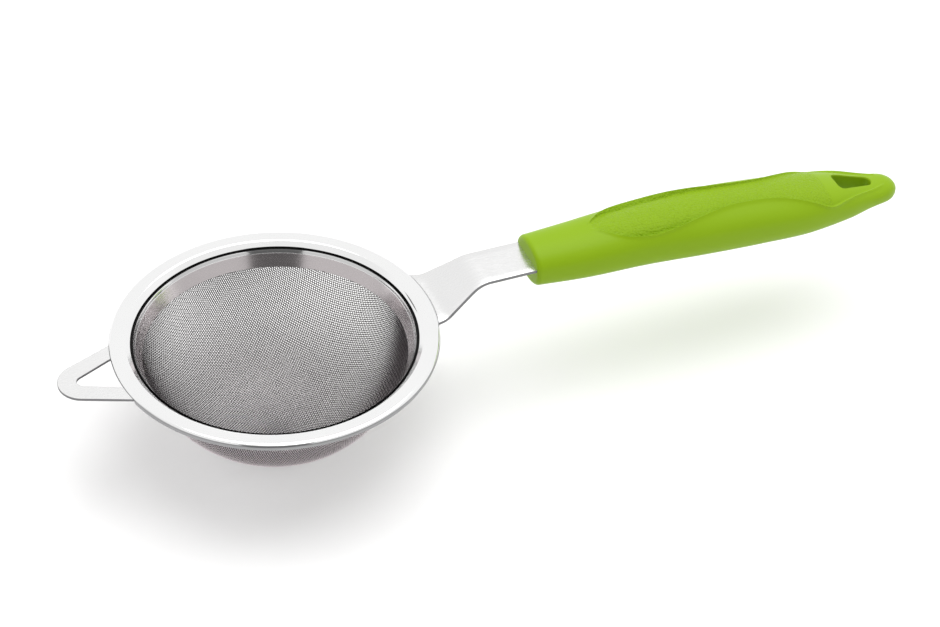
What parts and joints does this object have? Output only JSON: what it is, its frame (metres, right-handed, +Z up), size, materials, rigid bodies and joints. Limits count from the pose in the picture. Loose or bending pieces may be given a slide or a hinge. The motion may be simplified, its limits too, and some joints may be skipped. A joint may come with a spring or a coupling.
{
  "type": "tea strainer",
  "caption": "Round tea strainer: woven-wire bowl in a flanged steel rim, with a rest ear, a flat bent shank and a moulded grip with a hanging hole.",
  "frame": {"origin": "bottom centre of the bounding box, with the rim level; the bowl's lowest point is at z = 0", "axes": "+X along the handle towards the hanging hole, +Z up out of the bowl's opening, +Y across the handle"},
  "size_m": [0.2698, 0.096, 0.0512],
  "materials": {
    "polished_steel": "polished stainless steel",
    "band_steel": "turned stainless steel",
    "wire_cloth": "plain-woven stainless wire",
    "ear_steel": "satin stainless steel",
    "shank_steel": "satin stainless steel",
    "lime_plastic": "lime green moulded plastic, stippled on top"
  },
  "bodies": {
    "root": {"rim_flange": "polished_steel", "mesh_retaining_band": "band_steel", "mesh_bowl": "wire_cloth", "rest_ear": "ear_steel", "handle_shank": "shank_steel", "grip": "lime_plastic"}
  },
  "joints": []
}
